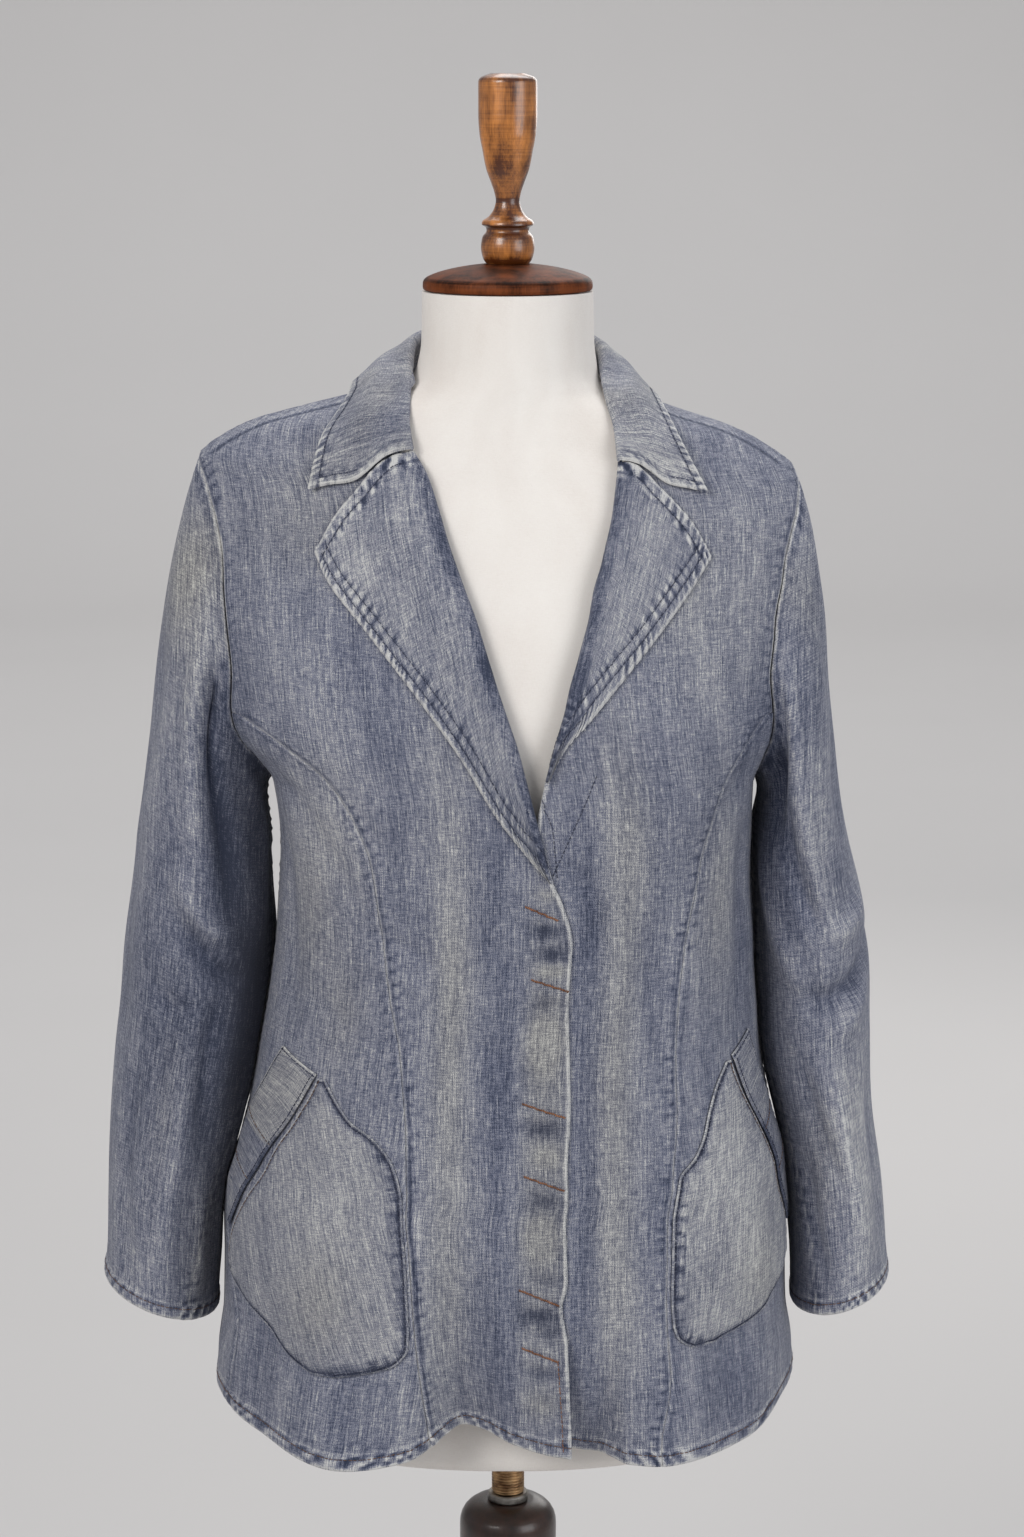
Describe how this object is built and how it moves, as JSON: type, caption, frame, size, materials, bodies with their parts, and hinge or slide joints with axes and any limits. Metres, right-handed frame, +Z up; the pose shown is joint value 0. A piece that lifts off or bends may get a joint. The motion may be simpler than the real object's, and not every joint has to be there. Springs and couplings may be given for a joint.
{
  "type": "denim jacket on a dress form",
  "caption": "Fitted denim blazer with a notched collar and curved patch pockets, worn open-necked on a limbless dress form on a round base.",
  "frame": {"origin": "centre of the underside of the base, on the floor", "axes": "+Z up, the jacket faces -Y, the wearer's right side is at -X"},
  "size_m": [0.573, 0.38, 1.6398],
  "materials": {
    "back": "washed denim",
    "front_right": "washed denim",
    "front_left": "washed denim",
    "side_front_right": "washed denim",
    "side_front_left": "washed denim",
    "sleeve_right": "washed denim",
    "sleeve_left": "washed denim",
    "pocket_right": "washed denim",
    "pocket_left": "washed denim",
    "pocket_band_right": "washed denim",
    "pocket_band_left": "washed denim",
    "collar": "washed denim, paler",
    "lapel_right": "washed denim, paler",
    "lapel_left": "washed denim, paler",
    "form_torso": "cream cotton cover",
    "neck_cap": "dark varnish",
    "finial": "golden varnish",
    "threaded_rod": "dull",
    "ferrule": "dull",
    "column": "black varnish",
    "base": "black varnish"
  },
  "bodies": {
    "root": {"back": "back", "front_right": "front_right", "front_left": "front_left", "side_front_right": "side_front_right", "side_front_left": "side_front_left", "sleeve_right": "sleeve_right", "sleeve_left": "sleeve_left", "pocket_right": "pocket_right", "pocket_left": "pocket_left", "pocket_band_right": "pocket_band_right", "pocket_band_left": "pocket_band_left", "collar": "collar", "lapel_right": "lapel_right", "lapel_left": "lapel_left", "form_torso": "form_torso", "neck_cap": "neck_cap", "finial": "finial", "threaded_rod": "threaded_rod", "ferrule": "ferrule", "column": "column", "base": "base"}
  },
  "joints": []
}
